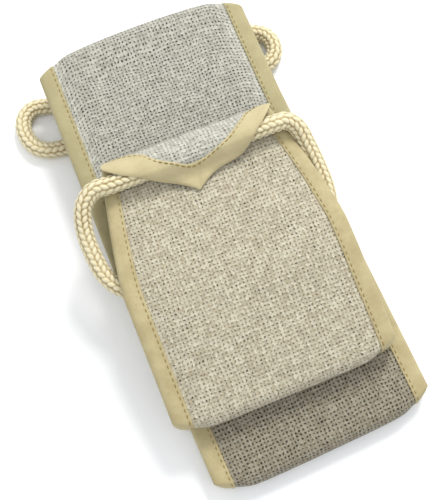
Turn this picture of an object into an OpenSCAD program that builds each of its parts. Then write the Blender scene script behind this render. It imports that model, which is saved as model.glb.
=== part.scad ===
// Loofah back scrubber: a long padded strap in four panels, folded zigzag,
// with bound edges, a pointed flap at each end and a rope handle in each flap.
// Units are millimetres. X runs across the strap, Y along it, Z up.
// The origin is under the middle of the folded strap, on the table.
// Panels count from the flap end that lies on top: 1 and 2, then 3 and 4.
// "front" is the face the flaps are sewn to, "back" is the other face.

/* [Strap] */
// Width of the strap over its bound edges
strap_w = 110; // [100:1:115]
// Thickness of padding and both cloths in the middle of the strap
pad_t = 6; // [5.6:0.1:6.2]
// Thickness of the woven loofah cloth
cloth_t = 0.9; // [0.7:0.1:1]
// Width of the binding tape on each side of the edge
bind_w = 8.5; // [7:0.5:10]
// Thickness of the binding tape
bind_t = 0.6; // [0.4:0.1:0.7]
// Width over which the padding thins towards the binding
pinch_w = 7; // [5:0.5:10]
// Padding and cloths squeezed between the two sides of the tape
pinched_t = 3; // [2.8:0.1:3.2]

/* [Folding] */
// Clear space between two folded layers
layer_gap = 0.4; // [0.3:0.1:0.8]
// Y of the last fold's centre, at the near end
near_y = -107; // [-112:1:-100]
// Y of the middle fold's centre, at the far end
far_y = 109; // [105:1:114]
// Turn of the upper two panels against the lower two
upper_turn = -2; // [-3:0.5:0]
// Length of panel 2 between its folds
panel_2_len = 186; // [180:1:190]
// Slope of panel 1 as it climbs onto its rope
climb = 9; // [8.5:0.5:10]
// Length of the climbing part of panel 1
climb_len = 42; // [41:1:46]
// Radius of the bend at the top of the climb
crest_r = 120; // [110:5:130]
// Length of the part that narrows towards each flap
taper_len = 63; // [60:1:66]
// Width at the flap end, as a share of the strap's width
taper_end = 0.78; // [0.75:0.01:0.8]
// Tilt of the whole stack, which lies on its lower rope
lie_tilt = 2.75; // [2.7:0.05:2.9]

/* [Flap and rope] */
// Distance of the rope's tunnel from the end of the strap
tunnel_in = 11; // [10.5:0.5:12]
// Rope diameter
rope_d = 7.5; // [7:0.1:7.6]
// Play between the rope and its tunnel
tunnel_play = 0.5; // [0.5:0.05:0.7]
// Thickness of the flap's binding
flap_bind_t = 1.2; // [0.8:0.1:1.5]
// Thickness of the thread whipping round the joined rope ends
whip_t = 0.3; // [0.2:0.05:0.35]
// Length of the whipping
whip_len = 26; // [15:1:30]

/* [Stitching] */
// Width of a line of sewing thread
thread_w = 0.7; // [0.5:0.1:1]
// Height of the thread over the tape
thread_h = 0.3; // [0.2:0.1:0.5]
// Distance of the stitch line from the tape's inner edge
thread_in = 1; // [0.8:0.1:2]

/* [Hidden] */
$fn = 48;
full_turn = 360;
eps = 0.01;
rope_sides = 12;
rope_r = rope_d / 2;
half_w = strap_w / 2;
half_t = pad_t / 2;
half_pinch = pinched_t / 2;
core_flat = half_t - cloth_t;
core_pinch = half_pinch - cloth_t * half_pinch / half_t;
bind_half = half_pinch + bind_t;
bind_x = half_w - bind_w;
fade_x = bind_x - pinch_w;
edge_play = 0.3;
outer_cut = 1.2;
inner_cut = 0.9;
tucked_x = half_w - bind_t - inner_cut;
join_gap = 0.3;

// Heights of the four layers' middles, lowest first
pitch = pad_t + layer_gap;
z_4 = half_t;
z_3 = z_4 + pitch;
z_2 = z_3 + pitch;
fold_r = pitch / 2;
half_turn = 180;
skew = upper_turn / 2;
crest_half = crest_r * tan(climb / 2);
taper_turn = atan(half_w * (1 - taper_end) / taper_len);
cut_size = 400;

// Straight part of panel 4 before it narrows
panel_4_flat = 156;
panel_4_len = panel_4_flat + taper_len;

// Origin set under the middle of the folded strap
seat = [3.3, -0.8, 0];

// Outline of the flap from its middle to one side, as x and depth from the strap's end
flap_outer = [[0, 27.5], [5, 24], [10, 21.5], [21, 17.5], [30, 11.5], [40, 2]];
flap_inner = [[0, 16], [8.5, 14], [18, 9.5], [22, 4.5], [27, 0]];
flap_top = 0.9;
tunnel_r = rope_r + tunnel_play;
tunnel_foot = 7;

// Half routes of the upper rope, from the middle of its tunnel: x, y, z
rope_1_left = [[0, 0, 0], [30, 0, 0], [41.5, 0.1, -0.1], [50, 0.6, -1], [56.8, -4, -3.6],
    [60.3, -13, -7.8], [60.8, -24, -11.5], [59, -36, -14], [53, -45, -14.4], [42, -52, -14.4],
    [25, -55, -14.4], [0, -55, -14.4]];
rope_1_right = [[0, 0, 0], [30, 0, 0], [40.5, 0, -0.1], [46.5, -0.6, -1.2], [50.8, -5, -3.8],
    [52.8, -13, -8.2], [54, -23, -12], [53.8, -35, -14.2], [50.5, -45, -14.4], [42, -51.5, -14.4],
    [25, -55, -14.4], [0, -55, -14.4]];

// Half routes of the lower rope, from the middle of its tunnel: x, y and drop
rope_2_left = [[0, 0, 0], [30, 0, 0], [44, 0.5, -0.6], [54, 3, -1.5], [63, 5.5, -1.9], [69, 3, -1.9],
    [72, -2, -1.9], [72.5, -8.5, -1.9], [70.5, -15, -1.9], [66, -19, -1.9], [60, -21, -1.9],
    [50, -22, -1.9], [25, -22, -1.9], [0, -22, -1.9]];
rope_2_right = [[0, 0, 0], [30, 0, 0], [44, 0, -0.6], [54, 1, -1.5], [61, -1, -1.9], [65.5, -5, -1.9],
    [67, -11, -1.9], [65, -17, -1.9], [60, -20.5, -1.9], [50, -22, -1.9], [25, -22, -1.9],
    [0, -22, -1.9]];
rope_step = 2.1;
ring_start = [0.2, 0.1, 1];

cloth_colour = [0.74, 0.71, 0.62];
pad_colour = [0.93, 0.91, 0.85];
tape_colour = [0.72, 0.65, 0.45];
thread_colour = [0.62, 0.53, 0.32];
rope_colour = [0.95, 0.91, 0.80];

// ---- cross sections, as points: x across the strap, y through its thickness ----

function reversed(list) = [for (i = [len(list) - 1:-1:0]) list[i]];

function other_face(points) = reversed([for (p = points) [p.x, -p.y]]);

function other_side(points) = reversed([for (p = points) [-p.x, p.y]]);

padding = [
    [-tucked_x, -core_pinch], [-bind_x, -core_pinch],
    [-fade_x, -core_flat], [fade_x, -core_flat],
    [bind_x, -core_pinch], [tucked_x, -core_pinch],
    [tucked_x, core_pinch], [bind_x, core_pinch],
    [fade_x, core_flat], [-fade_x, core_flat],
    [-bind_x, core_pinch], [-tucked_x, core_pinch]
];

upper_cloth = [
    [-tucked_x, core_pinch], [-bind_x, core_pinch],
    [-fade_x, core_flat], [fade_x, core_flat],
    [bind_x, core_pinch], [tucked_x, core_pinch],
    [tucked_x, half_pinch], [bind_x - edge_play, half_pinch],
    [fade_x, half_t], [-fade_x, half_t],
    [-bind_x + edge_play, half_pinch], [-tucked_x, half_pinch]
];
lower_cloth = other_face(upper_cloth);

right_tape = [
    [bind_x, half_pinch], [tucked_x, half_pinch],
    [half_w - bind_t, half_pinch - inner_cut], [half_w - bind_t, inner_cut - half_pinch],
    [tucked_x, -half_pinch], [bind_x, -half_pinch],
    [bind_x, -bind_half], [half_w - outer_cut, -bind_half],
    [half_w, outer_cut - bind_half], [half_w, bind_half - outer_cut],
    [half_w - outer_cut, bind_half], [bind_x, bind_half]
];
left_tape = other_side(right_tape);
tapes = [left_tape, right_tape];

thread_x = bind_x + thread_in;
upper_thread = [
    [thread_x, bind_half], [thread_x + thread_w, bind_half],
    [thread_x + thread_w, bind_half + thread_h], [thread_x, bind_half + thread_h]
];
threads = [
    upper_thread, other_side(upper_thread),
    other_face(upper_thread), other_face(other_side(upper_thread))
];

// ---- ways to draw a section along the strap ----

module straight(len, points)
    translate([0, len, 0])
        rotate([90, 0, 0])
            linear_extrude(height = len)
                polygon(points);

// One side of the narrowing part: the section runs inwards at the taper's angle
module half_taper(side, points)
    intersection() {
        rotate([0, 0, side * taper_turn])
            translate([0, -taper_len / 2, 0])
                straight(2 * taper_len, [for (p = points) [p.x * cos(taper_turn), p.y]]);
        translate([side > 0 ? 0 : -strap_w, 0, -strap_w / 2])
            cube([strap_w, taper_len, strap_w]);
    }

// Cloth and padding span both sides, a tape or thread lies on one
module taper(points) {
    if (max([for (p = points) p.x]) > 0)
        half_taper(1, points);
    if (min([for (p = points) p.x]) < 0)
        half_taper(-1, points);
}

module bend(r, turn, points)
    rotate([0, -90, 0])
        rotate_extrude(angle = turn)
            translate([r, 0])
                rotate(-90)
                    polygon(points);

// ---- where each layer lies ----

module lie()
    translate(seat)
        translate([0, near_y, 0])
            rotate([lie_tilt, 0, 0])
                translate([0, -near_y, 0])
                    children();

module at_panel_3()
    translate([0, near_y, z_3])
        children();

module at_panel_4()
    translate([0, near_y, z_4])
        children();

// Frame at the far fold, turned with the upper panels
module at_upper()
    translate([0, far_y, 0])
        rotate([0, 0, upper_turn])
            children();

module at_panel_2()
    at_upper()
        translate([0, -panel_2_len, z_2])
            children();

module at_panel_1()
    at_upper()
        translate([0, -panel_2_len, z_2 + fold_r])
            rotate([climb, 0, 0])
                translate([0, 0, fold_r])
                    children();

// Level frame at the end of panel 1's crest
module at_level_1()
    at_panel_1()
        translate([0, climb_len, -crest_r])
            rotate([-climb, 0, 0])
                translate([0, 0, crest_r])
                    children();

module at_mitre()
    translate([0, climb_len + crest_half, 0])
        children();

// Keeps what lies on the near side of the skewed far fold, less the given gap
module near_side(gap = 0)
    difference() {
        children();
        translate([0, far_y, 0])
            rotate([0, 0, skew])
                translate([-cut_size / 2, -gap, -cut_size / 2])
                    cube(cut_size);
    }

// Panel 1 climbs, levels out at a mitre and then narrows
module strip_1(points)
    at_panel_1() {
        difference() {
            translate([0, join_gap, 0])
                straight(climb_len + 2 * crest_half - join_gap, points);
            at_mitre()
                rotate([-climb / 2, 0, 0])
                    translate([-cut_size / 2, 0, -cut_size / 2])
                        cube(cut_size);
        }
        difference() {
            at_mitre()
                rotate([-climb, 0, 0])
                    translate([0, -crest_half, 0]) {
                        straight(2 * crest_half, points);
                        translate([0, 2 * crest_half, 0])
                            taper(points);
                    }
            at_mitre()
                rotate([-climb / 2, 0, 0])
                    translate([-cut_size / 2, -cut_size, -cut_size / 2])
                        cube(cut_size);
        }
    }

module strip_2(points)
    near_side(join_gap)
        at_panel_2()
            straight(panel_2_len + fold_r, points);

module strip_3(points)
    near_side()
        at_panel_3()
            straight(far_y - near_y + fold_r, points);

module strip_4(points)
    at_panel_4() {
        translate([0, join_gap, 0])
            straight(panel_4_flat - join_gap, points);
        translate([0, panel_4_flat, 0])
            taper(points);
    }

module bend_12(points)
    at_upper()
        translate([0, -panel_2_len, z_2 + fold_r])
            rotate([climb, 0, 0])
                rotate([0, 0, half_turn])
                    bend(fold_r, half_turn - climb, points);

module bend_23(points)
    translate([0, far_y, z_3 + fold_r])
        rotate([0, 0, skew])
            bend(fold_r, half_turn, points);

module bend_34(points)
    translate([0, near_y, z_4 + fold_r])
        rotate([0, 0, half_turn])
            bend(fold_r, half_turn, points);

// ---- end flap, in a frame on the middle of the panel at the strap's end ----
// Y runs towards the strap's end at y = 0, Z is the flap's side

function both_sides(half) = concat(
    [for (i = [len(half) - 1:-1:1]) [-half[i].x, -half[i].y]],
    [for (p = half) [p.x, -p.y]]);

// Outline closed just past the strap's end
function closed_plan(half) =
    let (side = half[len(half) - 1].x)
    concat(both_sides(half), [[side, flap_top], [-side, flap_top]]);

module flap_plan()
    polygon(closed_plan(flap_outer));

module window_plan()
    polygon(closed_plan(flap_inner));

// Side view of a layer of the flap: y along the strap, z up from the panel's face
module flap_shell(low, thick) {
    drop = flap_outer[0][1];
    // The lowest layer is closed at the strap's end, the others lie over it
    end_wall = low > 0 ? flap_top : 0;
    difference() {
        union() {
            hull() {
                translate([-tunnel_in, tunnel_r])
                    circle(r = tunnel_r + low + thick);
                translate([-tunnel_in - tunnel_r - tunnel_foot, 0])
                    square([tunnel_in + tunnel_r + tunnel_foot + flap_top, low + thick]);
            }
            translate([-drop, 0])
                square([drop, low + thick]);
        }
        hull() {
            translate([-tunnel_in, tunnel_r])
                circle(r = tunnel_r + low);
            translate([-tunnel_in - tunnel_r - tunnel_foot, -pad_t])
                square([tunnel_in + tunnel_r + tunnel_foot + end_wall, pad_t + max(low, eps)]);
        }
        translate([-2 * drop, -pad_t])
            square([4 * drop, pad_t + low]);
    }
}

module flap_layer(low, thick)
    translate([0, 0, half_t])
        rotate([90, 0, 90])
            linear_extrude(height = strap_w, center = true)
                flap_shell(low, thick);

module over_plan()
    translate([0, 0, -cut_size / 2])
        linear_extrude(height = cut_size)
            children();

module flap_cloth() {
    intersection() {
        flap_layer(0, cloth_t);
        over_plan()
            window_plan();
    }
    translate([-half_w * taper_end + bind_w, eps, -half_t])
        cube([2 * (half_w * taper_end - bind_w), flap_top - eps, pad_t]);
}

module flap_band()
    intersection() {
        flap_layer(0, flap_bind_t);
        over_plan()
            difference() {
                flap_plan();
                window_plan();
            }
    }

module flap_thread()
    intersection() {
        flap_layer(flap_bind_t, thread_h);
        over_plan()
            intersection() {
                difference() {
                    offset(delta = thread_in + thread_w)
                        window_plan();
                    offset(delta = thread_in)
                        window_plan();
                }
                flap_plan();
            }
    }

module at_end_1()
    at_level_1()
        translate([0, taper_len, 0])
            children();

module at_end_4()
    at_panel_4()
        translate([0, panel_4_len, 0])
            mirror([0, 0, 1])
                children();

module at_tunnel()
    translate([0, -tunnel_in, half_t + tunnel_r])
        children();

// ---- rope: a round tube swept along its route ----

function mirrored(route) = [for (p = route) [-p.x, p.y, p.z]];

// Closed route: out on the right, round the loop and back on the left
function loop_route(left, right) = concat(
    right, [for (i = [1:len(left) - 2]) reversed(mirrored(left))[i]]);

function spline(a, b, c, d, t) = 0.5 * (2 * b + (c - a) * t
    + (2 * a - 5 * b + 4 * c - d) * t * t + (3 * b - a - 3 * c + d) * t * t * t);

function smoothed(route) =
    let (n = len(route))
    [for (i = [0:n - 1])
        let (
            a = route[(i + n - 1) % n],
            b = route[i],
            c = route[(i + 1) % n],
            d = route[(i + 2) % n],
            parts = max(1, round(norm(c - b) / (2 * rope_step)))
        )
        for (k = [0:parts - 1])
            spline(a, b, c, d, k / parts)];

function unit(v) = v / norm(v);

// Rings of an open tube whose two ends meet in the tunnel, one gap apart
function ring(centre, along) =
    let (
        across = unit(cross(ring_start, along)),
        up = cross(along, across)
    )
    [for (s = [0:rope_sides - 1])
        let (angle = full_turn * s / rope_sides)
        centre + rope_r * (cos(angle) * across + sin(angle) * up)];

function along_at(route, i) =
    let (n = len(route))
    unit(route[min(i + 1, n - 1)] - route[max(i - 1, 0)]);

module rope(left, right) {
    loop = smoothed(loop_route(left, right));
    first = [join_gap / 2, 0, 0];
    route = concat([first], [for (i = [1:len(loop) - 1]) loop[i]], [-first]);
    n = len(route);
    points = [for (i = [0:n - 1]) each ring(route[i], along_at(route, i))];
    sides = [for (i = [0:n - 2]) for (s = [0:rope_sides - 1])
        let (t = (s + 1) % rope_sides)
        [i * rope_sides + s, i * rope_sides + t, (i + 1) * rope_sides + t,
            (i + 1) * rope_sides + s]];
    near = [for (s = [rope_sides - 1:-1:0]) s];
    far = [for (s = [0:rope_sides - 1]) (n - 1) * rope_sides + s];
    polyhedron(points = points, faces = concat([near], [far], sides));
}

module whipping()
    rotate([0, 90, 0])
        difference() {
            cylinder(r = rope_r + whip_t, h = whip_len, center = true);
            cylinder(r = rope_r + eps, h = whip_len + 2 * eps, center = true);
        }

// ---- the pieces ----

module front_1() color(cloth_colour) lie() strip_1(upper_cloth);
module back_1() color(cloth_colour) lie() strip_1(lower_cloth);
module pad_1() color(pad_colour) lie() strip_1(padding);
module edge_left_1() color(tape_colour) lie() strip_1(left_tape);
module edge_right_1() color(tape_colour) lie() strip_1(right_tape);
module seams_1() color(thread_colour) lie() for (thread = threads) strip_1(thread);

module front_2() color(cloth_colour) lie() strip_2(lower_cloth);
module back_2() color(cloth_colour) lie() strip_2(upper_cloth);
module pad_2() color(pad_colour) lie() strip_2(padding);
module edge_left_2() color(tape_colour) lie() strip_2(left_tape);
module edge_right_2() color(tape_colour) lie() strip_2(right_tape);
module seams_2() color(thread_colour) lie() for (thread = threads) strip_2(thread);

module front_3() color(cloth_colour) lie() strip_3(upper_cloth);
module back_3() color(cloth_colour) lie() strip_3(lower_cloth);
module pad_3() color(pad_colour) lie() strip_3(padding);
module edge_left_3() color(tape_colour) lie() strip_3(left_tape);
module edge_right_3() color(tape_colour) lie() strip_3(right_tape);
module seams_3() color(thread_colour) lie() for (thread = threads) strip_3(thread);

module front_4() color(cloth_colour) lie() strip_4(lower_cloth);
module back_4() color(cloth_colour) lie() strip_4(upper_cloth);
module pad_4() color(pad_colour) lie() strip_4(padding);
module edge_left_4() color(tape_colour) lie() strip_4(left_tape);
module edge_right_4() color(tape_colour) lie() strip_4(right_tape);
module seams_4() color(thread_colour) lie() for (thread = threads) strip_4(thread);

module fold_12_outer() color(cloth_colour) lie() bend_12(upper_cloth);
module fold_12_inner() color(cloth_colour) lie() bend_12(lower_cloth);
module fold_12_pad() color(pad_colour) lie() bend_12(padding);
module fold_12_edges() color(tape_colour) lie() for (tape = tapes) bend_12(tape);
module fold_23_outer() color(cloth_colour) lie() bend_23(upper_cloth);
module fold_23_inner() color(cloth_colour) lie() bend_23(lower_cloth);
module fold_23_pad() color(pad_colour) lie() bend_23(padding);
module fold_23_edges() color(tape_colour) lie() for (tape = tapes) bend_23(tape);
module fold_34_outer() color(cloth_colour) lie() bend_34(upper_cloth);
module fold_34_inner() color(cloth_colour) lie() bend_34(lower_cloth);
module fold_34_pad() color(pad_colour) lie() bend_34(padding);
module fold_34_edges() color(tape_colour) lie() for (tape = tapes) bend_34(tape);

module flap_1() color(cloth_colour) lie() at_end_1() flap_cloth();
module flap_binding_1() color(tape_colour) lie() at_end_1() flap_band();
module flap_seam_1() color(thread_colour) lie() at_end_1() flap_thread();
module rope_1() color(rope_colour) lie() at_end_1() at_tunnel() rope(rope_1_left, rope_1_right);
module rope_join_1() color(thread_colour) lie() at_end_1() at_tunnel() whipping();

module flap_2() color(cloth_colour) lie() at_end_4() flap_cloth();
module flap_binding_2() color(tape_colour) lie() at_end_4() flap_band();
module flap_seam_2() color(thread_colour) lie() at_end_4() flap_thread();
module rope_2() color(rope_colour) lie() level_at_tunnel_4() rope(rope_2_left, rope_2_right);
module rope_join_2() color(thread_colour) lie() level_at_tunnel_4() whipping();

// The lower tunnel's middle, with the table's level restored
module level_at_tunnel_4()
    at_panel_4()
        translate([0, panel_4_len - tunnel_in, -half_t - tunnel_r])
            rotate([-lie_tilt, 0, 0])
                children();

front_1();
back_1();
pad_1();
edge_left_1();
edge_right_1();
seams_1();
front_2();
back_2();
pad_2();
edge_left_2();
edge_right_2();
seams_2();
front_3();
back_3();
pad_3();
edge_left_3();
edge_right_3();
seams_3();
front_4();
back_4();
pad_4();
edge_left_4();
edge_right_4();
seams_4();
fold_12_outer();
fold_12_inner();
fold_12_pad();
fold_12_edges();
fold_23_outer();
fold_23_inner();
fold_23_pad();
fold_23_edges();
fold_34_outer();
fold_34_inner();
fold_34_pad();
fold_34_edges();
flap_1();
flap_binding_1();
flap_seam_1();
rope_1();
rope_join_1();
flap_2();
flap_binding_2();
flap_seam_2();
rope_2();
rope_join_2();
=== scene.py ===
import math

import bpy
import numpy as np
from mathutils import Matrix, Vector, noise


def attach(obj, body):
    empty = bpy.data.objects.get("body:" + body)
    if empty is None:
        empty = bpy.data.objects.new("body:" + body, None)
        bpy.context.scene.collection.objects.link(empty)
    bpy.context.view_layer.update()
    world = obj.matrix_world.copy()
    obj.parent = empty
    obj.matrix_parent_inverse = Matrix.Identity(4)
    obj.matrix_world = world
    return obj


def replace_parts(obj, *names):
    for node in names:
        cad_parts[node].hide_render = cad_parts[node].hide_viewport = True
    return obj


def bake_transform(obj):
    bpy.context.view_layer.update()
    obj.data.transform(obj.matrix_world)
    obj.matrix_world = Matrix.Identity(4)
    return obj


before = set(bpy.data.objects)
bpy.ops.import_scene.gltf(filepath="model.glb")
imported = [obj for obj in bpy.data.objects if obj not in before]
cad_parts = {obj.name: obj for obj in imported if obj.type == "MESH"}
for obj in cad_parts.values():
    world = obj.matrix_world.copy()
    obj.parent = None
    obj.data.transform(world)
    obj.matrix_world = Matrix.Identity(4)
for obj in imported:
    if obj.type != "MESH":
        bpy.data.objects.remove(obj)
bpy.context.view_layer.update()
MM = 0.001

# ---- the folded strap's sizes, in millimetres, as the CAD has them ----
SEAT = (3.3, -0.8, 0.0)
NEAR_Y, FAR_Y, TURN, TILT = -107.0, 109.0, -2.0, 2.75
PANEL_2, CLIMB, CLIMB_LEN, CREST_R = 186.0, 9.0, 42.0, 120.0
TAPER, TAPER_END = 63.0, 0.78
FOLD_R = 3.2
Z4, Z3, Z2 = 3.0, 9.4, 15.8
PANEL_3, PANEL_4 = FAR_Y - NEAR_Y, 219.0
HALF_W, BIND_X, FADE_X = 55.0, 46.5, 38.0
HALF_T, PINCH = 3.0, 1.6
TUNNEL_IN, TUNNEL_UP = 11.0, 7.25
ROPE_R = 3.75

CREST_LEN = CREST_R * math.radians(CLIMB)
PANEL_1 = TAPER + CREST_LEN + CLIMB_LEN
FOLD_12 = (PANEL_1, PANEL_1 + FOLD_R * math.radians(180 - CLIMB))
FOLD_23 = (FOLD_12[1] + PANEL_2, FOLD_12[1] + PANEL_2 + FOLD_R * math.pi)
FOLD_34 = (FOLD_23[1] + PANEL_3, FOLD_23[1] + PANEL_3 + FOLD_R * math.pi)
STRAP = FOLD_34[1] + PANEL_4
CUT_2, CUT_3 = (FOLD_12[1] + FOLD_23[0]) / 2, (FOLD_23[1] + FOLD_34[0]) / 2


def shift(x, y, z):
    return Matrix.Translation((x, y, z))


def turn(degrees, axis):
    return Matrix.Rotation(math.radians(degrees), 4, axis)


LIE = shift(*SEAT) @ shift(0, NEAR_Y, 0) @ turn(TILT, "X") @ shift(0, -NEAR_Y, 0)
UPPER = LIE @ shift(0, FAR_Y, 0) @ turn(TURN, "Z")
PANEL_1_AT = UPPER @ shift(0, -PANEL_2, Z2 + FOLD_R) @ turn(CLIMB, "X") @ shift(0, 0, FOLD_R)
LEVEL = PANEL_1_AT @ shift(0, CLIMB_LEN, -CREST_R) @ turn(-CLIMB, "X") @ shift(0, 0, CREST_R)
TUNNEL_1 = LEVEL @ shift(0, TAPER - TUNNEL_IN, TUNNEL_UP)
TUNNEL_2 = LIE @ shift(0, NEAR_Y, Z4) @ shift(0, PANEL_4 - TUNNEL_IN, -TUNNEL_UP) @ turn(-TILT, "X")


# ---- where the middle of the strap runs: s from flap end 1 to flap end 2 ----
def path_point(s):
    """y and z in the upper or lower frame, the direction of growing s, and the turn about Z."""
    if s <= FOLD_12[0]:
        d = FOLD_12[0] - s
        c, sn = math.cos(math.radians(CLIMB)), math.sin(math.radians(CLIMB))
        if d <= CLIMB_LEN:
            y, z, a = d, 0.0, 0.0
        elif d <= CLIMB_LEN + CREST_LEN:
            a = (d - CLIMB_LEN) / CREST_R
            y, z = CLIMB_LEN + CREST_R * math.sin(a), -CREST_R * (1 - math.cos(a))
        else:
            a, e = math.radians(CLIMB), d - CLIMB_LEN - CREST_LEN
            y = CLIMB_LEN + CREST_R * sn + e * c
            z = -CREST_R * (1 - c) - e * sn
        y0, z0 = -PANEL_2 - FOLD_R * sn, Z2 + FOLD_R + FOLD_R * c
        g = math.radians(CLIMB) - a
        return FAR_Y + y0 + y * c - z * sn, z0 + y * sn + z * c, -math.cos(g), -math.sin(g), TURN
    if s <= FOLD_12[1]:
        a = math.radians(90 + CLIMB) + (s - FOLD_12[0]) / FOLD_R
        y, z = FAR_Y - PANEL_2 + FOLD_R * math.cos(a), Z2 + FOLD_R + FOLD_R * math.sin(a)
        return y, z, -math.sin(a), math.cos(a), TURN
    if s <= FOLD_23[0]:
        return FAR_Y - PANEL_2 + s - FOLD_12[1], Z2, 1.0, 0.0, TURN
    if s <= FOLD_23[1]:
        t = (s - FOLD_23[0]) / FOLD_R
        a = math.pi / 2 - t
        return (FAR_Y + FOLD_R * math.cos(a), Z3 + FOLD_R + FOLD_R * math.sin(a),
                math.sin(a), -math.cos(a), TURN * (1 - t / math.pi))
    if s <= FOLD_34[0]:
        return FAR_Y - (s - FOLD_23[1]), Z3, -1.0, 0.0, 0.0
    if s <= FOLD_34[1]:
        a = math.pi / 2 + (s - FOLD_34[0]) / FOLD_R
        return (NEAR_Y + FOLD_R * math.cos(a), Z4 + FOLD_R + FOLD_R * math.sin(a),
                -math.sin(a), math.cos(a), 0.0)
    return NEAR_Y + s - FOLD_34[1], Z4, 1.0, 0.0, 0.0


S_TABLE = np.arange(-8.0, STRAP + 8.0, 0.2)
P_TABLE = np.array([path_point(float(s)) for s in S_TABLE])
HEADING = np.unwrap(np.arctan2(P_TABLE[:, 3], P_TABLE[:, 2]))
HEADING -= np.interp((FOLD_23[1] + FOLD_34[0]) / 2, S_TABLE, HEADING)


def cloth_length(s, h):
    """Length along the cloth at height h: longer outside a fold, shorter inside it."""
    return s + h * np.interp(s, S_TABLE, HEADING)


def smooth(t):
    t = np.clip(t, 0.0, 1.0)
    return t * t * (3 - 2 * t)


def narrowing(s):
    """Share of the full width at s, near either flap."""
    t = np.clip(1 - np.minimum(s, STRAP - s) / TAPER, 0, 1.05)
    return 1 - (1 - TAPER_END) * t ** 1.35


# each fold: its middle along the strap, where its axis lies, which way it points, how far its middle
# stands out, and how much its left and right corners give way
FOLDS = (
    (sum(FOLD_12) / 2, FAR_Y - PANEL_2, -1.0, 0.3, 0.53, 0.4),
    (sum(FOLD_23) / 2, FAR_Y, 1.0, 3.2, 0.88, 0.75),
    (sum(FOLD_34) / 2, NEAR_Y, -1.0, 0.6, 0.83, 0.8),
)
FOLD_REACH, CORNER_PULL = 11.0, 2.3


def to_world(points, at):
    """World points, in metres, of points in millimetres in the frame at."""
    ones = np.ones(points.shape[:-1] + (1,))
    return (np.concatenate([points, ones], -1) @ np.array(at).T)[..., :3] * MM


def place(x, s, h, narrow=True):
    """World points, in metres, of strap points: x across, s along, h out of the front face."""
    x, s, h = (np.asarray(v, float) for v in (x, s, h))
    y, z, uy, uz, a = (np.interp(s, S_TABLE, P_TABLE[:, i]) for i in range(5))
    n = np.hypot(uy, uz)
    uy, uz = uy / n, uz / n
    if narrow:
        x = x * narrowing(s)
    y, z = y + h * uz, z - h * uy
    for middle, axis, way, out, left, right in FOLDS:
        near = np.exp(-((s - middle) / FOLD_REACH) ** 2)
        across = np.abs(x) / HALF_W
        beyond = np.where(near > 0.05, np.maximum(way * (y - axis), 0), 0)
        y = y + way * (near * (out * (1 - across ** 2) - CORNER_PULL * across ** 10)
                       - beyond * np.where(x < 0, left, right) * across ** 7)
    a = np.radians(a)
    yr = y - FAR_Y
    px = x * np.cos(a) - yr * np.sin(a)
    py = x * np.sin(a) + yr * np.cos(a) + FAR_Y
    return to_world(np.stack([px, py, z], -1), LIE)


def lump(x, s, seed, size):
    """Smooth noise over the strap, from about -1 to 1."""
    return np.array([noise.noise(Vector((float(a) / size, float(b) / size, seed)))
                     for a, b in zip(np.ravel(x), np.ravel(s))]).reshape(np.shape(x))


# ---- mesh helpers ----
def make(name, points, faces, material, at=None, sharp=50):
    mesh = bpy.data.meshes.new(name)
    mesh.from_pydata([tuple(p) for p in np.reshape(points, (-1, 3))], [], faces)
    mesh.validate()
    mesh.polygons.foreach_set("use_smooth", [True] * len(mesh.polygons))
    if sharp:
        mesh.set_sharp_from_angle(angle=math.radians(sharp))
    if at is not None:
        store = mesh.attributes.new("strap_at", "FLOAT_VECTOR", "POINT")
        store.data.foreach_set("vector", np.asarray(at, np.float32).ravel())
    mesh.materials.append(material)
    obj = bpy.data.objects.new(name, mesh)
    bpy.context.scene.collection.objects.link(obj)
    return obj


def curve_point(a, b, c, d, t):
    """Point at share t from b to c, on a smooth curve through a, b, c and d."""
    return 0.5 * (2 * b + (c - a) * t + (2 * a - 5 * b + 4 * c - d) * t * t
                  + (3 * b - a - 3 * c + d) * t ** 3)


def run_along(line):
    """Length along a line of points, at each of them."""
    return np.concatenate([[0], np.cumsum(np.linalg.norm(np.diff(line, axis=0), axis=1))])


def tube_faces(rows, ring, flip=False):
    """Quads of a closed tube of rows rings, with both ends capped."""
    faces = []
    for i in range(rows - 1):
        for k in range(ring):
            a, b = i * ring + k, i * ring + (k + 1) % ring
            faces.append((a, b, b + ring, a + ring))
    faces.append(tuple(range(ring))[::-1])
    faces.append(tuple((rows - 1) * ring + k for k in range(ring)))
    return [f[::-1] for f in faces] if flip else faces


def bend_over(obj, b, fold, s):
    """Bakes the piece's placement and works out its share between the two bodies by its length along the
    strap; the share is not kept.
    """
    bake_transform(obj)
    w = smooth((np.asarray(s, float) - fold[0] + 1.0) / (fold[1] - fold[0] + 2.0))
    if b == "panel_1":
        w = 1 - w


SPANS = (
    ("12", 0.0, CUT_2, FOLD_12, "panel_2", "panel_1"),
    ("23", CUT_2, CUT_3, FOLD_23, "panel_2", "panel_3"),
    ("34", CUT_3, STRAP, FOLD_34, "panel_3", "panel_4"),
)


def steps(lo, hi, fold, coarse, fine):
    """Stations along a span, closer together round its fold."""
    a, b = fold[0] - 6, fold[1] + 6
    parts = [np.linspace(lo, a, max(2, int((a - lo) / coarse)), endpoint=False),
             np.linspace(a, b, int((b - a) / fine), endpoint=False),
             np.linspace(b, hi, max(2, int((hi - b) / coarse)) + 1)]
    return np.concatenate(parts)


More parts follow.
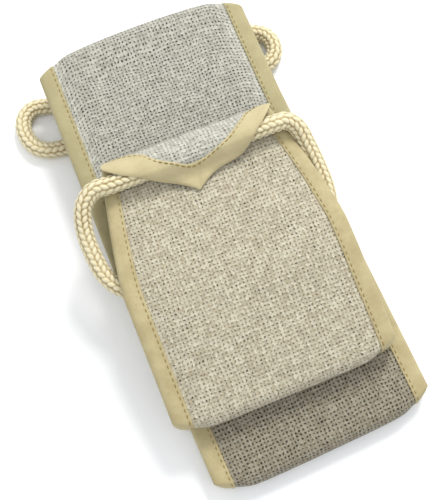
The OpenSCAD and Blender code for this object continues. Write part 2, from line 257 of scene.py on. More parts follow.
# ---- materials ----
class Nodes:
    """Short names for making a material's nodes."""

    def __init__(self, name):
        self.mat = bpy.data.materials.new(name)
        self.mat.use_nodes = True
        self.tree = self.mat.node_tree
        self.shader = self.tree.nodes["Principled BSDF"]

    def node(self, kind, **values):
        n = self.tree.nodes.new(kind)
        for k, v in values.items():
            setattr(n, k, v)
        return n

    def put(self, socket, value):
        if isinstance(value, bpy.types.NodeSocket):
            self.tree.links.new(value, socket)
        else:
            socket.default_value = value

    def math(self, op, *args):
        n = self.node("ShaderNodeMath", operation=op)
        for socket, value in zip(n.inputs, args):
            self.put(socket, value)
        return n.outputs[0]

    def add(self, a, b):
        return self.math("ADD", a, b)

    def minus(self, a, b):
        return self.math("SUBTRACT", a, b)

    def times(self, a, b):
        return self.math("MULTIPLY", a, b)

    def most(self, a, b):
        return self.math("MAXIMUM", a, b)

    def step(self, value, lo, hi, to_lo=0.0, to_hi=1.0):
        """A smooth step from to_lo at lo to to_hi at hi."""
        n = self.node("ShaderNodeMapRange", interpolation_type="SMOOTHSTEP")
        for i, v in enumerate((value, lo, hi, to_lo, to_hi)):
            self.put(n.inputs[i], v)
        return n.outputs[0]

    def at(self):
        """The place in the cloth, tape, thread or rope, as stored in the mesh."""
        return self.node("ShaderNodeAttribute", attribute_name="strap_at").outputs["Vector"]

    def split(self, vector):
        n = self.node("ShaderNodeSeparateXYZ")
        self.put(n.inputs[0], vector)
        return n.outputs

    def join(self, x, y, z=0.0):
        n = self.node("ShaderNodeCombineXYZ")
        for socket, value in zip(n.inputs, (x, y, z)):
            self.put(socket, value)
        return n.outputs[0]

    def noise(self, vector, scale, detail=2.0, rough=0.5):
        n = self.node("ShaderNodeTexNoise")
        self.put(n.inputs["Vector"], vector)
        self.put(n.inputs["Scale"], scale)
        self.put(n.inputs["Detail"], detail)
        self.put(n.inputs["Roughness"], rough)
        return n.outputs["Fac"]

    def random(self, vector):
        n = self.node("ShaderNodeTexWhiteNoise", noise_dimensions="3D")
        self.put(n.inputs["Vector"], vector)
        return n.outputs["Value"]

    def mix(self, share, a, b):
        n = self.node("ShaderNodeMix", data_type="RGBA")
        self.put(n.inputs[0], share)
        self.put(n.inputs[6], a)
        self.put(n.inputs[7], b)
        return n.outputs[2]

    def finish(self, colour, rough, height=None, bump=0.3, distance=0.0003, sheen=0.0):
        self.put(self.shader.inputs["Base Color"], colour)
        self.put(self.shader.inputs["Roughness"], rough)
        self.shader.inputs["Specular IOR Level"].default_value = 0.25
        self.shader.inputs["Sheen Weight"].default_value = sheen
        self.shader.inputs["Sheen Roughness"].default_value = 0.6
        if height is not None:
            n = self.node("ShaderNodeBump")
            n.inputs["Strength"].default_value = bump
            n.inputs["Distance"].default_value = distance
            self.put(n.inputs["Height"], height)
            self.put(self.shader.inputs["Normal"], n.outputs[0])
        return self.mat


def srgb(r, g, b):
    def lin(c):
        c /= 255
        return c / 12.92 if c <= 0.04045 else ((c + 0.055) / 1.055) ** 2.4
    return (lin(r), lin(g), lin(b), 1.0)


# the weave: threads of changing width, crossing over and under
WEAVE_PITCH = 1.85
DRIFT, DRIFT_SCALE = 1.3, 0.11
WOBBLE, WOBBLE_SCALE = 0.95, 0.62
THREAD_LEAST, THREAD_CHANGE = 0.2, 0.44
THREAD_WAVE = 0.45
# holes between the threads: the share that is by chance, and the extra size near the far and near folds; near
# the near fold they add to its painted shade
HOLE_CHANCE, HOLE_STREAKS = 0.66, 0.34
HOLE_FAR, HOLE_NEAR = 0.1, 0.22
# painted shade: the cloth gets darker along the strap on both sides of the near fold, for the top panel's
# shadow on the panel below
DARKER_FROM, DARKER_FULL = 150, 25
PALER_FROM, PALER_FULL = 10, 120


def loofah_cloth():
    n = Nodes("loofah_cloth")
    x, s, h = n.split(n.at())
    flat = n.join(x, s)
    back = n.step(h, 0.3, -0.3)
    far_back = n.step(h, -1.1, -1.6)
    # mask of the painted shade on both sides of the near fold
    near_fold_shade = n.times(n.step(s, FOLD_34[0] - DARKER_FROM, FOLD_34[0] - DARKER_FULL),
                        n.step(s, FOLD_34[1] + PALER_FULL, FOLD_34[1] + PALER_FROM))

    def thread_count(across, drift_at, wobble_at):
        """The number of threads up to here, as they wander over the cloth."""
        drift = n.times(n.noise(drift_at, DRIFT_SCALE, 2.0), DRIFT)
        wobble = n.times(n.noise(wobble_at, WOBBLE_SCALE, 3.0, 0.75), WOBBLE)
        return n.add(n.math("DIVIDE", across, WEAVE_PITCH), n.add(drift, wobble))

    def thread(number, across, along, seed, way):
        """A thread's roundness, 1 at its middle, and its height with the over and under."""
        spot = n.join(n.times(number, 2.3), n.times(along, 0.6), seed)
        wide = n.add(THREAD_LEAST, n.times(n.noise(spot, 1.0, 1.0), THREAD_CHANGE))
        body = n.minus(1.0, n.math("POWER", n.math("DIVIDE", n.math("ABSOLUTE", across), wide), 2.0))
        over = n.math("COSINE", n.times(n.add(n.minus(along, 0.5), number), math.pi))
        return body, n.add(n.most(body, -1.0), n.times(over, way * THREAD_WAVE))

    def streak(u_scale, v_scale, seed):
        """Runs of threads that lie further apart."""
        spot = n.join(n.times(u, u_scale), n.times(v, v_scale), seed)
        return n.step(n.noise(spot, 1.0, 2.0, 0.6), 0.46, 0.62)

    def thread_kind(number, along, seed):
        """How dull a thread is, which changes along it."""
        return n.noise(n.join(n.times(number, 3.1), n.times(along, 0.3), seed), 1.0, 2.0)

    u = thread_count(x, flat, flat)
    v = thread_count(s, n.join(s, x, 7.0), n.join(s, x, 3.0))
    number_u, number_v = n.math("FLOOR", u), n.math("FLOOR", v)
    body_u, high_u = thread(number_u, n.minus(n.math("FRACT", u), 0.5), v, 3.0, 1)
    body_v, high_v = thread(number_v, n.minus(n.math("FRACT", v), 0.5), u, 9.0, -1)
    top = n.most(high_u, high_v)
    fibre = n.noise(flat, 2.2, 4.0, 0.75)

    streaks = n.most(streak(0.9, 0.16, 21.0), streak(0.16, 0.9, 26.0))
    spot = n.random(n.join(n.math("ROUND", u), n.math("ROUND", v), 2.0))
    chance = n.add(n.times(spot, HOLE_CHANCE), n.times(streaks, HOLE_STREAKS))
    level = n.add(0.5, n.add(n.times(far_back, 0.5), n.times(near_fold_shade, 0.5)))
    opened = n.step(n.add(chance, level), 0.98, 1.3, 0.25, 1.0)
    wider = n.add(n.times(far_back, HOLE_FAR), n.times(near_fold_shade, HOLE_NEAR))
    gap = n.step(n.most(body_u, body_v), n.add(0.46, wider), n.minus(wider, 0.06))
    hole = n.times(gap, opened)

    # colour: by thread, with painted shade where the threads dip, patches, grain, loose fibres, painted shade
    # near the near fold, then the holes, darkened as painted shade
    on_u = n.step(n.minus(high_u, high_v), -0.1, 0.1)
    kind = n.add(n.times(thread_kind(number_u, v, 1.0), on_u),
                 n.times(thread_kind(number_v, u, 6.0), n.minus(1.0, on_u)))
    dull = n.step(kind, 0.34, 0.66)
    patch = n.step(n.noise(n.join(x, s, 30.0), 0.5, 3.0, 0.65), 0.42, 0.75, 0.0, 0.6)
    front_tone = n.mix(patch, n.mix(dull, srgb(194, 188, 168), srgb(158, 150, 129)), srgb(160, 145, 113))
    back_tone = n.mix(dull, srgb(187, 186, 175), srgb(156, 155, 144))
    # painted shade where the threads dip between their crossings
    thread_dip_shade = n.mix(back, srgb(108, 98, 76), srgb(92, 89, 79))
    colour = n.mix(n.step(top, 0.95, 0.0, 0.0, 0.8), n.mix(back, front_tone, back_tone), thread_dip_shade)
    colour = n.mix(n.step(fibre, 0.45, 0.8, 0.0, 0.6), colour, srgb(206, 202, 185))
    grain = n.noise(n.join(x, s, 40.0), 0.95, 2.0, 0.8)
    dark_grain = n.mix(back, srgb(124, 106, 80), srgb(104, 101, 90))
    pale_grain = n.mix(back, srgb(214, 208, 188), srgb(206, 205, 195))
    colour = n.mix(n.step(grain, 0.5, 0.72, 0.0, 0.36), colour, dark_grain)
    colour = n.mix(n.step(grain, 0.5, 0.28, 0.0, 0.4), colour, pale_grain)
    # painted shade near the near fold, for the top panel's shadow, and a smaller share of it on the back face
    shade = n.times(n.most(near_fold_shade, n.times(far_back, 0.36)), 0.46)
    colour = n.mix(shade, colour, srgb(56, 46, 28))
    # painted shade: the holes between the threads are darkened almost to black
    colour = n.mix(n.times(hole, 0.98), colour, srgb(22, 18, 12))

    height = n.add(n.times(n.minus(top, n.times(hole, 1.2)), 0.42), n.times(fibre, 0.45))
    return n.finish(colour, n.step(fibre, 0.2, 0.8, 0.78, 0.95), height, 0.8, 0.0006, 0.1)


# the tape's own fine weave, in radians per millimetre
TAPE_RIBS = 14.0


def binding_tape():
    n = Nodes("binding_tape")
    x, s, h = n.split(n.at())
    across = n.add(x, n.times(h, 0.8))
    ribs = n.times(n.math("SINE", n.times(across, TAPE_RIBS)), n.math("SINE", n.times(s, TAPE_RIBS)))
    tone = n.noise(n.join(across, s), 0.12, 3.0)
    mottle = n.noise(n.join(across, s, 5.0), 0.9, 3.0, 0.6)
    colour = n.mix(n.step(tone, 0.3, 0.7), srgb(177, 165, 126), srgb(165, 152, 113))
    colour = n.mix(n.step(mottle, 0.45, 0.8, 0.0, 0.45), colour, srgb(154, 140, 98))
    # greyer on the strap's back; paler on the flaps as painted light, since they stand higher than the strap
    colour = n.mix(n.step(h, 0.5, -0.5, 0.0, 0.5), colour, srgb(146, 140, 104))
    colour = n.mix(n.step(h, 3.0, 5.0, 0.0, 0.32), colour, srgb(198, 187, 148))
    height = n.add(n.times(ribs, 0.12), n.times(mottle, 0.9))
    return n.finish(colour, n.step(mottle, 0.2, 0.8, 0.55, 0.78), height, 0.35, 0.0004, 0.1)


def sewing_thread():
    n = Nodes("thread")
    x, s, h = n.split(n.at())
    twist = n.math("SINE", n.add(n.times(s, 16.0), n.times(n.add(x, h), 9.0)))
    tone = n.noise(n.join(x, s), 0.5, 2.0)
    colour = n.mix(n.step(tone, 0.3, 0.7), srgb(150, 130, 80), srgb(139, 118, 69))
    # painted shade in the grooves of the thread's twist
    colour = n.mix(n.step(twist, 0.2, -1.0, 0.0, 0.5), colour, srgb(126, 104, 58))
    return n.finish(colour, n.step(tone, 0.2, 0.8, 0.5, 0.7), twist, 0.4, 0.0001)


def cotton_rope():
    n = Nodes("rope")
    high, along, side = n.split(n.at())
    fibre = n.noise(n.join(n.times(side, 2.6), n.times(along, 0.5)), 1.0, 3.0, 0.6)
    tone = n.noise(n.join(along, side, 3.0), 0.08, 2.0)
    # painted shade: darker in the crevices between the braid's strands
    colour = n.mix(n.step(high, 0.15, 0.85), srgb(150, 128, 82), srgb(216, 207, 174))
    colour = n.mix(n.step(fibre, 0.45, 0.75, 0.0, 0.4), colour, srgb(200, 186, 144))
    colour = n.mix(n.step(tone, 0.35, 0.7, 0.0, 0.3), colour, srgb(220, 209, 172))
    return n.finish(colour, n.step(fibre, 0.2, 0.8, 0.75, 0.92), fibre, 0.5, 0.00035, 0.2)


def table_top():
    n = Nodes("table_top")
    floor_at = n.node("ShaderNodeTexCoord").outputs["Object"]
    tone = n.noise(floor_at, 6.0, 2.0)
    colour = n.mix(tone, (0.90, 0.91, 0.92, 1), (0.93, 0.935, 0.94, 1))
    return n.finish(colour, 0.8)


CLOTH, TAPE, THREAD = loofah_cloth(), binding_tape(), sewing_thread()
ROPE, TABLE = cotton_rope(), table_top()


# ---- camera: turned about the stack, raised above it and away from the point it looks at ----
CAMERA_TURN, CAMERA_UP, CAMERA_AWAY = -24.16, 73.47, 433.16
CAMERA_AIM = (-2.85, -3.32, 0.0)


def make_camera():
    data = bpy.data.cameras.new("camera")
    data.lens, data.sensor_width = 62.0, 36.0
    cam = bpy.data.objects.new("camera", data)
    bpy.context.scene.collection.objects.link(cam)
    az, el, away = math.radians(CAMERA_TURN), math.radians(CAMERA_UP), CAMERA_AWAY * MM
    back = Vector((math.sin(az) * math.cos(el), -math.cos(az) * math.cos(el), math.sin(el)))
    cam.location = Vector(CAMERA_AIM) * MM + back * away
    cam.rotation_mode = "QUATERNION"
    cam.rotation_quaternion = (-back).to_track_quat("-Z", "Y")
    data.clip_start, data.clip_end = 0.01, 20
    bpy.context.scene.camera = cam


make_camera()

# ---- rope handles ----
ROPE_1_LEFT = ((0, 0, 0), (30, 0, 0), (41.5, 0.1, -0.1), (50, 0.6, -1), (56.8, -4, -3.6),
               (60.3, -13, -7.8), (60.8, -24, -11.5), (59, -36, -14), (53, -45, -14.4),
               (42, -52, -14.4), (25, -55, -14.4), (0, -55, -14.4))
ROPE_1_RIGHT = ((0, 0, 0), (30, 0, 0), (40.5, 0, -0.1), (46.5, -0.6, -1.2), (50.8, -5, -3.8),
                (52.8, -13, -8.2), (54, -23, -12), (53.8, -35, -14.2), (50.5, -45, -14.4),
                (42, -51.5, -14.4), (25, -55, -14.4), (0, -55, -14.4))
ROPE_2_LEFT = ((0, 0, 0), (30, 0, 0), (44, 0.5, -0.6), (54, 3, -1.5), (63, 5.5, -1.9), (69, 3, -1.9),
               (72, -2, -1.9), (72.5, -8.5, -1.9), (70.5, -15, -1.9), (66, -19, -1.9), (60, -21, -1.9),
               (50, -22, -1.9), (25, -22, -1.9), (0, -22, -1.9))
ROPE_2_RIGHT = ((0, 0, 0), (30, 0, 0), (44, 0, -0.6), (54, 1, -1.5), (61, -1, -1.9), (65.5, -5, -1.9),
                (67, -11, -1.9), (65, -17, -1.9), (60, -20.5, -1.9), (50, -22, -1.9), (25, -22, -1.9),
                (0, -22, -1.9))
STRANDS, STITCH, SLANT = 8, 3.3, 0.6
SIDES, RING_EVERY = 56, 0.5
JOIN_GAP, BRAID_DEEP, BRAID_HIGH = 0.3, 0.25, 0.85


def rope_line(left, right):
    """The loop's middle line, out on the right and back on the left, evenly spaced."""
    half = [(-x, y, z) for x, y, z in left][1:-1][::-1]
    nodes = np.array(list(right) + half, float)
    n = len(nodes)
    line = []
    for i in range(n):
        a, b, c, d = (nodes[(i + k - 1) % n] for k in range(4))
        line += [curve_point(a, b, c, d, t) for t in np.linspace(0, 1, 24, endpoint=False)]
    line = np.array(line + [nodes[0]])
    run = run_along(line)
    even = np.linspace(JOIN_GAP, run[-1] - JOIN_GAP, int(run[-1] / RING_EVERY))
    return np.stack([np.interp(even, run, line[:, k]) for k in range(3)], -1), run[-1]


def rope(name, body, left, right, at, node):
    """A closed loop of braided rope, with its two ends meeting in the tunnel."""
    line, length = rope_line(left, right)
    rows = len(line)
    along = np.gradient(line, axis=0)
    along /= np.linalg.norm(along, axis=1)[:, None]
    side = np.cross((0.0, 0.0, 1.0), along)
    side /= np.linalg.norm(side, axis=1)[:, None]
    up = np.cross(along, side)
    run = np.linspace(0, length, rows)[:, None]
    angle = np.linspace(0, 2 * math.pi, SIDES, endpoint=False)[None, :]
    # columns of slanted strands, each half a stitch on from the next, as a solid braid shows them
    column = angle * STRANDS / (2 * math.pi)
    number = np.floor(column)
    f = column - number - 0.5
    q = run / STITCH + np.where(number % 2 > 0, 1.0, -1.0) * f * SLANT + 0.5 * (number % 2)
    q = q - np.floor(q) - 0.5
    high = np.clip(1 - np.abs(2 * f) ** 2.4 * 0.75 - np.abs(2 * q) ** 2.4 * 0.75, 0, 1) ** 0.8
    ends = smooth(np.minimum(run, length - run) / 2.5)
    radius = (ROPE_R - BRAID_DEEP + BRAID_HIGH * high) * (0.55 + 0.45 * ends)
    points = (line[:, None, :] + radius[..., None] * (np.cos(angle)[..., None] * side[:, None, :]
              + np.sin(angle)[..., None] * up[:, None, :]))
    world = to_world(points, at)
    world[..., 2] = np.maximum(world[..., 2], 0.0)
    round_it = np.broadcast_to(angle * ROPE_R, high.shape)
    store = np.stack([high, np.broadcast_to(run, high.shape), round_it], -1)
    obj = make(name, world, tube_faces(rows, SIDES), ROPE, store, sharp=0)
    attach(obj, body)
    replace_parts(obj, node)


WHIP_HALF, WHIP_INNER, WHIP_R, WHIP_THREAD, WHIP_TURN = 13, 3.8, 3.9, 0.14, 0.66


def whipping(name, body, at, node):
    """Thread wound round the joined ends of the rope."""
    rows = np.linspace(-WHIP_HALF, WHIP_HALF, 157)
    angle = np.linspace(0, 2 * math.pi, 40, endpoint=False)
    radius = WHIP_R + WHIP_THREAD * np.abs(np.sin(np.pi * rows / WHIP_TURN))
    outer = [(x, r * math.cos(t), r * math.sin(t)) for x, r in zip(rows, radius) for t in angle]
    inner = [(x, WHIP_INNER * math.cos(t), WHIP_INNER * math.sin(t)) for x in rows[::-52] for t in angle]
    points = np.array(outer + inner)
    k, rings = len(angle), len(points) // len(angle)
    faces = [(i * k + j, i * k + (j + 1) % k, (i + 1) % rings * k + (j + 1) % k, (i + 1) % rings * k + j)
             for i in range(rings) for j in range(k)]
    obj = make(name, to_world(points, at), faces, THREAD, points * (1, 4, 4))
    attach(obj, body)
    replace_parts(obj, node)


rope("rope_handle_1", "handle_1", ROPE_1_LEFT, ROPE_1_RIGHT, TUNNEL_1, "rope_1")
rope("rope_handle_2", "handle_2", ROPE_2_LEFT, ROPE_2_RIGHT, TUNNEL_2, "rope_2")
whipping("rope_whipping_1", "handle_1", TUNNEL_1, "rope_join_1")
whipping("rope_whipping_2", "handle_2", TUNNEL_2, "rope_join_2")


# ---- padded strap ----
STRAP_EDGE = np.array([53.8, 51.5, 49, 47.2, 46.2, 45.2, 44.2, 43, 41.6, 40, 38])
CROWN, LUMPS_HELD = 0.5, 0.12
SEAM_X, SEAM_H, STITCH_STEP = 47.6, 2.42, 3.0
DIMPLE_X = 47.55
# half of the tape's section, from its inner edge on the cloth round the strap's edge, outside and inside
TAPE_OUTER = np.array([(46.35, 1.62), (46.3, 1.95), (46.5, 2.2), (47.0, 2.28), (47.6, 2.2), (48.4, 2.34),
                       (50.5, 2.42), (52.6, 2.3), (53.9, 1.9), (54.75, 1.1), (55.0, 0.0)])
TAPE_INNER = np.array([(54.3, 0.0), (54.1, 0.8), (53.4, 1.35), (52.2, 1.5), (49.5, 1.5), (47.0, 1.5)])


def skin_half(x):
    """Half the thickness of cloth and padding at x."""
    t = smooth((np.abs(x) - FADE_X + 1.5) / (BIND_X - FADE_X + 2.5))
    return HALF_T - (HALF_T - PINCH) * t ** 1.4


def strap(tag, lo, hi, fold, b):
    """Both cloths and the padding of one span, with lumps that show on the faces seen."""
    across = np.concatenate([-STRAP_EDGE, np.linspace(-36, 36, 35), STRAP_EDGE[::-1]])
    rows = steps(lo, hi, fold, 2.1, 0.7)
    x = np.concatenate([across, across[::-1]])
    x, s = np.meshgrid(x, rows)
    face = np.concatenate([np.ones(len(across)), -np.ones(len(across))])[None, :]
    inside = smooth((45.0 - np.abs(x)) / 6.0)
    lumps = lump(x, s, 3.0, 17.0) * 0.55 + lump(x, s, 8.0, 6.0) * 0.22
    seen_front = smooth((FOLD_12[0] - 2 - s) / 12)
    seen_back = smooth((s - FOLD_23[0] + 60) / 14) * smooth((FOLD_23[0] - 2 - s) / 12)
    shown = LUMPS_HELD + (1 - LUMPS_HELD) * np.where(face > 0, seen_front, seen_back)
    arch = CROWN * np.cos(np.clip(x / 50, -1, 1) * math.pi / 2)
    crown = np.where((face > 0) & (s < FOLD_12[0]), arch, 0.0)
    crown = crown * smooth((s - 20) / 25) * smooth((FOLD_12[0] - s) / 14)
    h = face * (skin_half(x) + inside * ((lumps - 0.25) * shown + crown))
    points = place(x, s, h)
    obj = make("strap_" + tag, points, tube_faces(len(rows), x.shape[1]), CLOTH,
               np.stack([x * narrowing(s), cloth_length(s, h), h * 0.6], -1))
    bend_over(obj, b, fold, s.ravel())
    return obj


def tape(tag, side, lo, hi, fold, b):
    """Binding round one edge, as a closed section with both its faces."""
    under_outer, under_inner = TAPE_OUTER * (1, -1), TAPE_INNER * (1, -1)
    profile = np.concatenate([TAPE_OUTER, under_outer[-2::-1], under_inner[::-1], TAPE_INNER[1:]])
    rows = steps(lo, hi, fold, 1.0, 0.6)
    x, s = np.meshgrid(profile[:, 0], rows)
    h = np.broadcast_to(profile[:, 1][None, :], x.shape).copy()
    wave = lump(np.full(len(rows), side * 40.0), rows, 12.0, 14.0)[:, None]
    pucker = np.cos(2 * math.pi * s / STITCH_STEP)
    near_seam = np.exp(-((x - DIMPLE_X) / 0.9) ** 2)
    skin = np.abs(h) > 1.55
    h = h + np.where(skin, np.sign(h) * (0.11 * near_seam * pucker + 0.12 * wave), 0)
    x = x + 0.45 * wave * smooth((x - 45) / 3) * smooth((54 - x) / 6) - 0.08 * pucker * (x < 47)
    x = side * x
    points = place(x, s, h)
    obj = make(f"binding_{'right' if side > 0 else 'left'}_{tag}", points,
               tube_faces(len(rows), x.shape[1], flip=side > 0), TAPE, np.stack([x, s, h], -1))
    bend_over(obj, b, fold, s.ravel())
    return obj


THREAD_R, THREAD_SINK = 0.24, 0.1


def capsules(rows):
    """Points and faces of stitches, from rows of (x, s, h, dx, ds, face)."""
    points, faces = [], []
    ring = [(math.cos(t), math.sin(t)) for t in np.linspace(0, 2 * math.pi, 6, endpoint=False)]
    cuts = [(-1.0, 0.35, -0.9), (-0.7, 0.85, -0.25), (0.0, 1.0, 0.0), (0.7, 0.85, -0.25), (1.0, 0.35, -0.9)]
    for x, s, h, dx, ds, face in rows:
        base = len(points)
        for along, size, drop in cuts:
            cx, cs, ch = x + dx * along, s + ds * along, h + face * (drop * 0.3 - THREAD_SINK)
            r = THREAD_R * size
            for c, q in ring:
                points.append((cx + ds * c * r, cs - dx * c * r, ch + q * r))
        for i in range(len(cuts) - 1):
            for k in range(6):
                a, b = base + i * 6 + k, base + i * 6 + (k + 1) % 6
                faces.append((a, b, b + 6, a + 6))
        faces.append(tuple(base + k for k in range(6))[::-1])
        faces.append(tuple(base + 24 + k for k in range(6)))
    return np.array(points), faces


def stitches(tag, lo, hi, fold, b):
    """Both seams of one span, on its front and its back."""
    rows = []
    for side in (-1, 1):
        for face in (-1, 1):
            first = (math.ceil(lo / STITCH_STEP) + 0.5) * STITCH_STEP
            for s in np.arange(first, hi, STITCH_STEP):
                rows.append((side * SEAM_X, s, face * SEAM_H, 0.0, 1.0, face))
    points, faces = capsules(rows)
    world = place(points[:, 0], points[:, 1], points[:, 2])
    obj = make("stitches_" + tag, world, faces, THREAD, points, sharp=0)
    bend_over(obj, b, fold, points[:, 1])
    return obj


# the CAD panels and the CAD fold that each span stands for
CAD_OF = {"12": (("1", "2"), "12"), "23": (("3",), "23"), "34": (("4",), "34")}
for tag, lo, hi, fold, a, b in SPANS:
    panels, crease = CAD_OF[tag]
    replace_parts(strap(tag, lo, hi, fold, b),
                *[f"{k}_{p}" for p in panels for k in ("front", "back", "pad")],
                *[f"fold_{crease}_{k}" for k in ("outer", "inner", "pad")])
    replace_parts(tape(tag, -1, lo, hi, fold, b), *[f"edge_left_{p}" for p in panels], f"fold_{crease}_edges")
    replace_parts(tape(tag, 1, lo, hi, fold, b), *[f"edge_right_{p}" for p in panels])
    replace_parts(stitches(tag, lo, hi, fold, b), *[f"seams_{p}" for p in panels])

# ---- end flaps: x across, depth from the strap's end, height out of the front face ----
FLAP_PROFILE = np.array([(-1.5, 2.2), (-0.6, 4.3), (1.5, 6.8), (4.5, 10.0), (7.5, 11.6), (10.8, 12.0),
                         (14.0, 11.3), (16.6, 8.8), (18.6, 6.2), (21.0, 4.6), (25.0, 4.0), (32.0, 3.8)])
BAND_INNER = ((-40.5, -1.4), (-36.0, -2.0), (-29.0, -1.0), (-23.5, 2.4), (-19.0, 8.2), (-11.5, 12.8),
              (-4.3, 15.7), (5.7, 14.7), (16.4, 10.5), (24.9, 4.5), (29.5, 0.2), (36.5, -1.8))
BAND_OUTER = ((-43.6, 1.4), (-42.2, 4.6), (-37.0, 9.2), (-30.0, 13.2), (-22.4, 17.0), (-12.1, 21.5),
              (-3.9, 27.3), (6.4, 21.6), (21.3, 18.6), (31.4, 11.8), (37.5, 6.5), (42.8, 0.6))
# the binding's point: its node in the outer edge, and its share of the inner edge's length
POINT_NODE, POINT_AT = 6, 0.5
BAND_STITCHES, BAND_SEAM, BAND_SEAM_H = 34, 0.13, 1.2
# from its loose edge under the strap's end round to its front
FLAP_WRAP = np.array([(2.5, -2.0), (0.6, -2.35), (-0.7, -1.9), (-1.35, -0.6), (-1.6, 0.9)])
FLAP_HALF_W, FLAP_THICK, FLAP_UNDER_BAND = 42.6, 0.8, 2.2


def flap_height(depth):
    return np.interp(depth, FLAP_PROFILE[:, 0], FLAP_PROFILE[:, 1])


def curve_at(nodes, t, corner=None):
    """Point at share t of a smooth curve through nodes, sharp at the corner node."""
    p = np.array(nodes, float)
    parts = [p] if corner is None else [p[:corner + 1], p[corner:]]
    line = []
    for q in parts:
        q = np.concatenate([[2 * q[0] - q[1]], q, [2 * q[-1] - q[-2]]])
        for i in range(1, len(q) - 2):
            a, b, c, d = q[i - 1:i + 3]
            line += [curve_point(a, b, c, d, u) for u in np.linspace(0, 1, 12, endpoint=False)]
    line = np.array(line + [p[-1]])
    run = run_along(line)
    t = np.asarray(t, float) * run[-1]
    return np.stack([np.interp(t, run, line[:, 0]), np.interp(t, run, line[:, 1])], -1)


def end_place(end, x, depth, h):
    """World points of flap points at strap end 1 or 2."""
    s = np.asarray(depth, float) if end == 1 else STRAP - np.asarray(depth, float)
    points = place(np.asarray(x, float), s, h, narrow=False)
    points[..., 2] = np.maximum(points[..., 2], 0.0)
    return points


def band_outer(t):
    """Points of the binding's outer edge, with its point across from share POINT_AT of the inner edge."""
    size = np.linalg.norm(np.diff(np.array(BAND_OUTER, float), axis=0), axis=1)
    point = size[:POINT_NODE].sum() / size.sum()
    before, after = t / POINT_AT * point, point + (t - POINT_AT) / (1 - POINT_AT) * (1 - point)
    share = np.where(t < POINT_AT, before, after)
    return curve_at(BAND_OUTER, share, corner=POINT_NODE)


def band(end, body):
    """The flap's binding: a wide tape in the shape of a curly bracket, mitred at the point."""
    t = np.linspace(0, 1, 141)
    inner = curve_at(BAND_INNER, t)
    outer = band_outer(t)
    v = np.array([0.0, 0.03, 0.08, 0.14, 0.22, 0.32, 0.42, 0.52, 0.62, 0.72, 0.82, 0.9, 0.96, 1.0])
    plan = inner[:, None, :] * (1 - v)[None, :, None] + outer[:, None, :] * v[None, :, None]
    x, depth = plan[..., 0], plan[..., 1]
    under = flap_height(depth)
    rise = 0.25 + 0.75 * (1 - np.abs(2 * v - 1) ** 7)[None, :]
    seam = np.exp(-((v[None, :] - BAND_SEAM) / 0.08) ** 2)
    pucker = 0.10 * np.cos(2 * math.pi * t * (BAND_STITCHES - 1))[:, None] * seam
    along = t[:, None] - POINT_AT
    crease = -0.5 * np.exp(-((along - 0.035 * (1 - v)[None, :]) / 0.006) ** 2)
    wave = lump(x, depth, 5.0 + end, 9.0) * 0.35
    top = under + rise + pucker + crease * (v > 0.05) * (v < 0.97) + wave * (v > 0.05) * (v < 0.95)
    low = under - 0.15
    xs = np.concatenate([x, x[:, ::-1]], 1)
    ds = np.concatenate([depth, depth[:, ::-1]], 1)
    hs = np.concatenate([top, low[:, ::-1]], 1)
    points = end_place(end, xs, ds, hs)
    obj = make(f"flap_binding_{end}", points, tube_faces(len(t), xs.shape[1], flip=end == 1), TAPE,
               np.stack([xs, ds, hs], -1))
    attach(obj, body)
    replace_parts(obj, f"flap_binding_{end}")


def band_stitches(end, body):
    """The flap binding's stitch line, near its inner edge."""
    rows = []
    for i in range(1, BAND_STITCHES):
        t = i / BAND_STITCHES + np.array([-0.002, 0.002])
        p = curve_at(BAND_INNER, t) * (1 - BAND_SEAM) + band_outer(t) * BAND_SEAM
        middle, way = p.mean(0), p[1] - p[0]
        way = way / np.linalg.norm(way)
        rows.append((middle[0], middle[1], 0.0, way[0], way[1], 1.0))
    points, faces = capsules(rows)
    points[:, 2] += flap_height(points[:, 1]) + BAND_SEAM_H
    world = end_place(end, points[:, 0], points[:, 1], points[:, 2])
    obj = make(f"flap_stitches_{end}", world, faces, THREAD, points, sharp=0)
    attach(obj, body)
    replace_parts(obj, f"flap_seam_{end}")


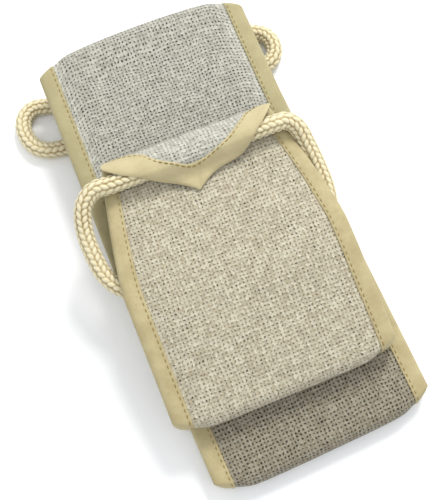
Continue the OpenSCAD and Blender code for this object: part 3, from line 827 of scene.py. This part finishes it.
def flap_cloth(end, body):
    """The strap's end cloth, turned over the end and across the rope, down to under the binding."""
    x = np.linspace(-FLAP_HALF_W, FLAP_HALF_W, 61)
    inner = curve_at(BAND_INNER, np.linspace(0, 1, 200))
    order = np.argsort(inner[:, 0])
    deep = np.interp(x, inner[order, 0], inner[order, 1]) + FLAP_UNDER_BAND
    deep = np.maximum(deep, 0.6)
    out_s, out_h = [], []
    for d in deep:
        run = np.linspace(-1.5, d, 22)
        out_s.append(np.concatenate([FLAP_WRAP[:, 0], run]))
        out_h.append(np.concatenate([FLAP_WRAP[:, 1], flap_height(run)]))
    s, h = np.array(out_s), np.array(out_h)
    xs = np.repeat(x[:, None], s.shape[1], 1)
    # the flap comes down at its sides, where the rope leaves the tunnel
    side = np.clip(1 - (np.abs(xs) - 34) / 9, 0.0, 1)
    h = np.where(h > 3.2, 3.2 + (h - 3.2) * (0.25 + 0.75 * side), h)
    h = h + 0.3 * lump(xs, s, 14.0 + end, 8.0) * (s > -0.5)
    ds, dh = np.gradient(s, axis=1), np.gradient(h, axis=1)
    size = np.hypot(ds, dh)
    back_s, back_h = s + FLAP_THICK * dh / size, h - FLAP_THICK * ds / size
    xs2 = np.concatenate([xs, xs[:, ::-1]], 1)
    s2 = np.concatenate([s, back_s[:, ::-1]], 1)
    h2 = np.concatenate([h, back_h[:, ::-1]], 1)
    steps_s, steps_h = np.diff(s, axis=1, prepend=s[:, :1]), np.diff(h, axis=1, prepend=h[:, :1])
    length = np.cumsum(np.hypot(steps_s, steps_h), axis=1)
    run2 = np.concatenate([length, length[:, ::-1]], 1)
    points = end_place(end, xs2, s2, h2)
    obj = make(f"flap_cloth_{end}", points, tube_faces(len(x), xs2.shape[1], flip=end == 1), CLOTH,
               np.stack([xs2, run2, np.full_like(h2, -1.0)], -1))
    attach(obj, body)
    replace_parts(obj, f"flap_{end}")


for end, body in ((1, "panel_1"), (2, "panel_4")):
    flap_cloth(end, body)
    band(end, body)
    band_stitches(end, body)


# ---- floor and light ----
def floor():
    """A plain table top, just under the strap."""
    bpy.ops.mesh.primitive_plane_add(size=6, location=(0, 0, -0.0002))
    obj = bpy.context.object
    obj.name = "floor"
    obj.data.materials.append(TABLE)


def lamp(name, at, size, power, colour):
    """A round area lamp that points at the middle of the scene."""
    data = bpy.data.lights.new(name, "AREA")
    data.shape, data.size, data.energy, data.color = "DISK", size, power, colour
    obj = bpy.data.objects.new(name, data)
    bpy.context.scene.collection.objects.link(obj)
    obj.location = at
    obj.rotation_mode = "QUATERNION"
    obj.rotation_quaternion = (-Vector(at)).to_track_quat("-Z", "Y")


floor()
lamp("key", (0.5, 0.58, 0.85), 0.4, 10.5, (1.0, 0.985, 0.95))
lamp("fill", (-0.3, -0.3, 1.5), 1.2, 3.5, (0.95, 0.97, 1.0))
world = bpy.data.worlds.new("studio")
world.use_nodes = True
world.node_tree.nodes["Background"].inputs["Color"].default_value = (0.97, 0.985, 1.0, 1)
world.node_tree.nodes["Background"].inputs["Strength"].default_value = 0.9
bpy.context.scene.world = world
bpy.context.scene.view_settings.view_transform = "Standard"
